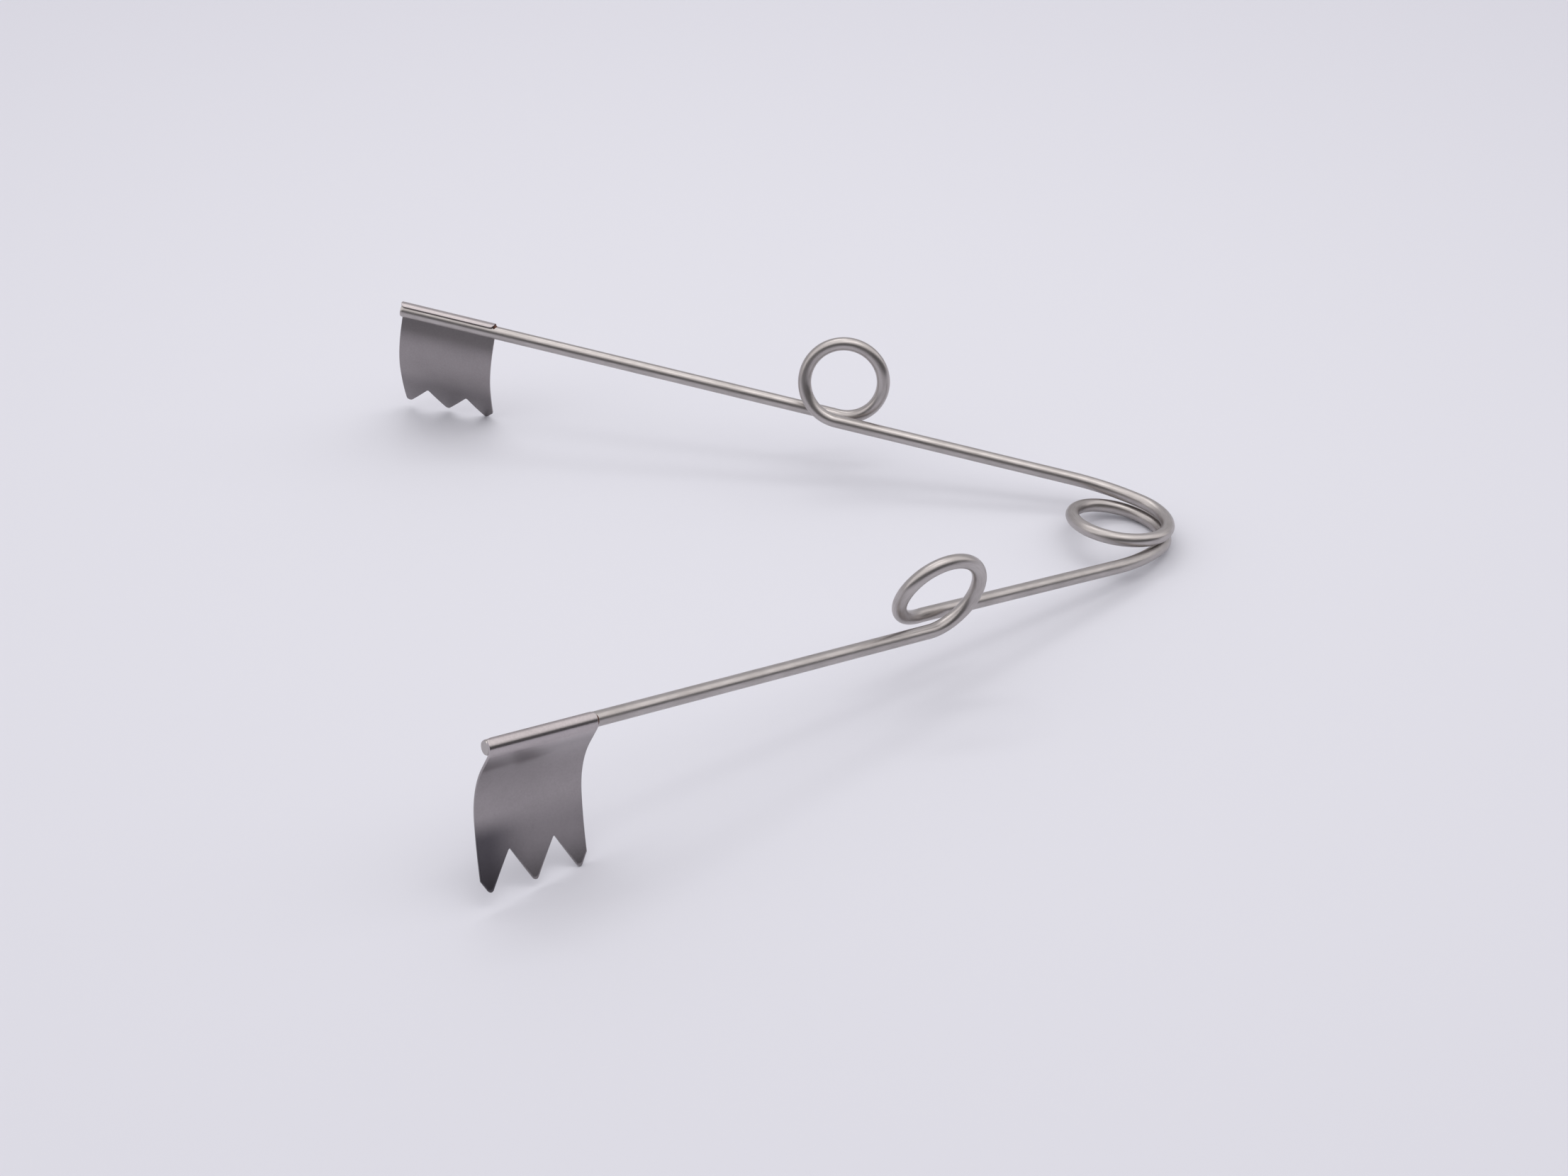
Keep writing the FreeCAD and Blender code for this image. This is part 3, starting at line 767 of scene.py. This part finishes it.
def sheetFaces(columnCount, rowCount, side):
    # The sheet's outer and inner face, and the cut edge all round
    sheet = columnCount * rowCount
    faces = []

    def quad(a, b, c, d):
        faces.append((a, b, c, d) if side > 0 else (d, c, b, a))

    for i in range(columnCount - 1):
        for j in range(rowCount - 1):
            a = i * rowCount + j
            b = a + rowCount
            quad(a, b, b + 1, a + 1)
            quad(sheet + a, sheet + a + 1, sheet + b + 1, sheet + b)
    for j in range(rowCount - 1):
        a = j
        quad(a, a + 1, sheet + a + 1, sheet + a)
        b = (columnCount - 1) * rowCount + j
        quad(b, sheet + b, sheet + b + 1, b + 1)
    for i in range(columnCount - 1):
        a = i * rowCount
        b = a + rowCount
        quad(a, sheet + a, sheet + b, b)
        a += rowCount - 1
        b += rowCount - 1
        quad(a, b, sheet + b, sheet + a)
    return faces


def makeBlade(name, path, outwards):
    shape = bladeShapes[name]
    at, height, foldEnd, kneeAt = sheetLine(shape)
    paintedHighlightAt, paintedShadeAt = bladeTones(shape, foldEnd, kneeAt)
    grid = sheetGrid(shape, at, height, kneeAt)
    seat = bladeSeat(path, outwards, shape)
    place = standing @ seat
    half = bladeSizes["thickness"] / 2
    points = []
    # Per point: the fold's painted highlight, the teeth's painted shade, and the roughness added by
    # scuffing
    tones = {"foldPaintedHighlight": [], "paintedToothShade": [], "scuffing": []}
    for offset in (half, -half):
        for share, column in grid:
            for s, along, easing in column:
                middle, out = at(s, easing)
                flat = middle + out * offset
                along += shape["width"] / 2
                points.append(place @ Vector((flat.x, flat.y, shape["side"] * along)))
                tones["foldPaintedHighlight"].append(paintedHighlightAt(s))
                tones["paintedToothShade"].append(paintedShadeAt(share, s))
                tones["scuffing"].append(shape["scuffing"])
    faces = sheetFaces(len(grid), len(grid[0][1]), shape["side"])
    blade = meshObject(f"{name}_blade_sheet", points, faces)
    blade.data.materials.append(satinSteel)
    for label, values in tones.items():
        tone = blade.data.attributes.new(label, "FLOAT", "POINT")
        tone.data.foreach_set("value", values)
    facesOutwards(blade)
    rounding = blade.modifiers.new("deburred", "BEVEL")
    rounding.width = bladeSizes["edgeRounding"] * mm
    rounding.segments = bladeSizes["edgeSegments"]
    rounding.limit_method = "ANGLE"
    rounding.angle_limit = math.radians(bladeSizes["sharpestBend"])
    blade = plainMesh(f"{name}_blade_sheet", blade)
    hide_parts(f"{name}_blade")
    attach(blade, f"{name}_side")
    return blade, seat


# The braze: a small fillet of filler between the fold's inner end and the wire

beadSizes = {
    "length": 0.42,
    "overSheet": 0.85,  # of the sheet's thickness
    "sunk": 0.02,
    "past": (0.1, 0.05),  # radians past the neck, and short of the fold's free edge
    "ripple": 0.03,
    "waves": (9, 23),
    "secondWave": 0.6,
    "narrowing": 0.3,
    "bluntEnd": 0.02,  # of the way round
    "foot": 0.03,
    "steps": 8,
    "turns": 40,
}


def makeBead(name, seat):
    shape = bladeShapes[name]
    side = shape["side"]
    inside = wireSizes["diameter"] / 2 + bladeSizes["gap"]
    high = inside + bladeSizes["thickness"] * beadSizes["overSheet"]
    low = wireSizes["diameter"] / 2 - beadSizes["sunk"]
    neckAngle = math.radians(bladeSizes["neckAngle"])
    outside = Vector((math.cos(neckAngle), -math.sin(neckAngle))) * (inside + bladeSizes["thickness"])
    foldEnd = sideLine(1, sheetLine(shape)[1](outside), shape) + shape["width"] / 2
    root = foldEnd - beadSizes["sunk"]
    past, short = beadSizes["past"]
    first = -neckAngle - past
    last = math.radians(shape["fold"]) - short
    blunt = beadSizes["bluntEnd"]
    steps = beadSizes["steps"]
    points = []

    def addPoint(angle, radius, z):
        flat = Vector((math.cos(angle) * radius, math.sin(angle) * radius, side * z))
        points.append(standing @ seat @ flat)

    for i in range(beadSizes["turns"] + 1):
        share = i / beadSizes["turns"]
        angle = first + (last - first) * share
        slow, quick = beadSizes["waves"]
        waves = math.sin(slow * angle) + beadSizes["secondWave"] * math.sin(quick * angle + 1)
        ripple = 1 + beadSizes["ripple"] * waves
        inner = min(max(share, blunt), 1 - blunt)
        swell = math.sin(math.pi * inner) ** beadSizes["narrowing"]
        for j in range(steps + 1):
            fall = math.pi / 2 * j / steps
            foot = beadSizes["foot"] * math.cos(fall)
            radius = low + (high - low) * (1 - math.sin(fall)) * swell + foot
            addPoint(angle, radius, root + beadSizes["length"] * ripple * swell * (1 - math.cos(fall)))
        addPoint(angle, low, root)
    ring = steps + 2
    faces = []
    for i in range(beadSizes["turns"]):
        for j in range(ring):
            a = i * ring + j
            b = i * ring + (j + 1) % ring
            faces.append((a, b, b + ring, a + ring))
    faces.append(tuple(range(ring)))
    faces.append(tuple(reversed(range(len(points) - ring, len(points)))))
    bead = meshObject(f"{name}_braze_fillet", points, faces)
    bead.data.materials.append(brazeFiller)
    facesOutwards(bead)
    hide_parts(f"{name}_braze")
    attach(bead, f"{name}_side")


for name, path, outwards in (("near", nearPath, nearOutwards), ("far", farPath, farOutwards)):
    blade, seat = makeBlade(name, path, outwards)
    makeBead(name, seat)
    print(name, "blade folded:", len(blade.data.polygons), "faces")

# The studio: pale paper that runs out of sight, and a soft room round it. Its bright ceiling is a
# band from left to right, with two long strip lamps, and it is dim low down on the camera's side.

studio = {
    "paper": (0.724, 0.728, 0.788),
    # painted light falloff: the paper's darker colour away from its middle
    "paperFarOff": (0.635, 0.635, 0.70),
    "paperMiddle": (0.0, 0.03, 0.0),
    "paperFade": (0.02, 0.26),  # metres from its middle
    "paperRoughness": 0.75,
    "paperShine": 0.1,
    "paperReach": 4.0,
    "overhead": (1.28, 1.257, 1.26),
    "lowBehind": (0.62, 0.612, 0.636),
    "lowInFront": (0.125, 0.123, 0.129),
    "behind": (-0.75, 0.6),  # Y of the directions between which the room brightens
    "ceilingTilt": -3.0,  # degrees from upright, towards the back
    "ceilingEdge": (0.69, 0.88),  # cosines of the angles off its middle
    "darkCorner": {"towards": (0.72, -0.66, 0.16), "edge": (0.74, 0.94), "left": 0.6},
    "strips": (
        {"name": "strip_overhead", "place": (0.14, -0.13, 0.98), "size": (0.6, 0.09), "power": 0.66},
        {"name": "strip_behind", "place": (-0.10, 0.48, 0.87), "size": (0.6, 0.09), "power": 0.70},
    ),
    "stripColour": (1.0, 0.985, 0.965),
}


def makeFloor(look):
    reach = look["paperReach"]
    corners = [(-reach, -reach, 0), (reach, -reach, 0), (reach, reach, 0), (-reach, reach, 0)]
    floor = meshObject("studio_floor", corners, [(0, 1, 2, 3)])
    material, nodes, links, shader = newMaterial("pale_paper")
    place = nodes.new("ShaderNodeTexCoord")
    apart = addNode(nodes, "ShaderNodeVectorMath", operation="DISTANCE")
    apart.inputs[1].default_value = look["paperMiddle"]
    links.new(place.outputs["Object"], apart.inputs[0])
    # Painted light falloff: the paper's colour darkens away from its middle
    fall = addRange(nodes, links, apart.outputs["Value"], look["paperFade"], interpolation="SMOOTHSTEP")
    tone = addTone(nodes, links, fall, (0.0, look["paper"]), (1.0, look["paperFarOff"]))
    links.new(tone, shader.inputs["Base Color"])
    shader.inputs["Roughness"].default_value = look["paperRoughness"]
    shader.inputs["Specular IOR Level"].default_value = look["paperShine"]
    floor.data.materials.append(material)


def makeStrip(look, colour):
    # Long from left to right, so the arms throw thin shadows and the rings none to speak of
    lamp = bpy.data.lights.new(look["name"], "AREA")
    lamp.shape = "RECTANGLE"
    lamp.size, lamp.size_y = look["size"]
    lamp.energy = look["power"]
    lamp.color = colour
    light = bpy.data.objects.new(look["name"], lamp)
    light.location = look["place"]
    away = Vector(look["place"]).normalized()
    level = (Vector((1, 0, 0)) - away * away.x).normalized()
    light.rotation_euler = Matrix((level, away.cross(level), away)).transposed().to_euler()
    bpy.context.scene.collection.objects.link(light)


def addAlignment(nodes, links, direction, middle):
    # The cosine of the angle between the two
    dot = addNode(nodes, "ShaderNodeVectorMath", operation="DOT_PRODUCT")
    dot.inputs[1].default_value = middle
    links.new(direction, dot.inputs[0])
    return dot.outputs["Value"]


def makeRoom(look):
    world = bpy.data.worlds.new("room")
    world.use_nodes = True
    nodes = world.node_tree.nodes
    links = world.node_tree.links
    nodes.clear()
    direction = nodes.new("ShaderNodeTexCoord").outputs["Generated"]
    split = nodes.new("ShaderNodeSeparateXYZ")
    links.new(direction, split.inputs[0])
    behind = addRange(nodes, links, split.outputs["Y"], look["behind"], interpolation="SMOOTHSTEP")
    low = addNode(nodes, "ShaderNodeMix", data_type="RGBA")
    low.inputs["A"].default_value = (*look["lowInFront"], 1)
    low.inputs["B"].default_value = (*look["lowBehind"], 1)
    links.new(behind, low.inputs["Factor"])

    # The ceiling runs from left to right, so only the direction's Y and Z count
    sideways = addNode(nodes, "ShaderNodeVectorMath", operation="MULTIPLY")
    sideways.inputs[1].default_value = (0, 1, 1)
    links.new(direction, sideways.inputs[0])
    upright = addNode(nodes, "ShaderNodeVectorMath", operation="NORMALIZE")
    links.new(sideways.outputs[0], upright.inputs[0])
    tilt = math.radians(look["ceilingTilt"])
    middle = Vector((0, math.sin(tilt), math.cos(tilt)))
    height = addAlignment(nodes, links, upright.outputs[0], middle)
    raised = addRange(nodes, links, height, look["ceilingEdge"], interpolation="SMOOTHSTEP")
    whole = addNode(nodes, "ShaderNodeMix", data_type="RGBA")
    links.new(raised, whole.inputs["Factor"])
    links.new(low.outputs["Result"], whole.inputs["A"])
    whole.inputs["B"].default_value = (*look["overhead"], 1)

    corner = look["darkCorner"]
    towards = addAlignment(nodes, links, direction, Vector(corner["towards"]).normalized())
    left = (1.0, corner["left"])
    dimmed = addRange(nodes, links, towards, corner["edge"], left, interpolation="SMOOTHSTEP")
    sky = nodes.new("ShaderNodeBackground")
    links.new(whole.outputs["Result"], sky.inputs["Color"])
    links.new(dimmed, sky.inputs["Strength"])
    output = nodes.new("ShaderNodeOutputWorld")
    links.new(sky.outputs[0], output.inputs["Surface"])
    bpy.context.scene.world = world


makeFloor(studio)
makeRoom(studio)
for strip in studio["strips"]:
    makeStrip(strip, studio["stripColour"])
print("studio set")

# The camera, placed as the photograph was taken

cameraView = {
    "place": (-52.09, -223.95, 162.62),  # mm
    "focal": 3636.8,  # pixels
    "imageWidth": 2212,
    "sensorWidth": 36.0,
    "clip": (0.01, 20),
    "azimuth": -12.431,
    "elevation": 35.506,
}


def makeCamera(look):
    lens = bpy.data.cameras.new("camera")
    lens.sensor_width = look["sensorWidth"]
    lens.lens = look["focal"] * look["sensorWidth"] / look["imageWidth"]
    camera = bpy.data.objects.new("camera", lens)
    azimuth = math.radians(look["azimuth"])
    elevation = math.radians(look["elevation"])
    level = math.cos(elevation)
    back = Vector((math.sin(azimuth) * level, -math.cos(azimuth) * level, math.sin(elevation)))
    camera.rotation_euler = (-back).to_track_quat("-Z", "Y").to_euler()
    camera.location = Vector(look["place"]) * mm
    lens.clip_start, lens.clip_end = look["clip"]
    bpy.context.scene.collection.objects.link(camera)
    bpy.context.scene.camera = camera


makeCamera(cameraView)
bpy.context.scene.view_settings.view_transform = "Standard"
print("camera placed")
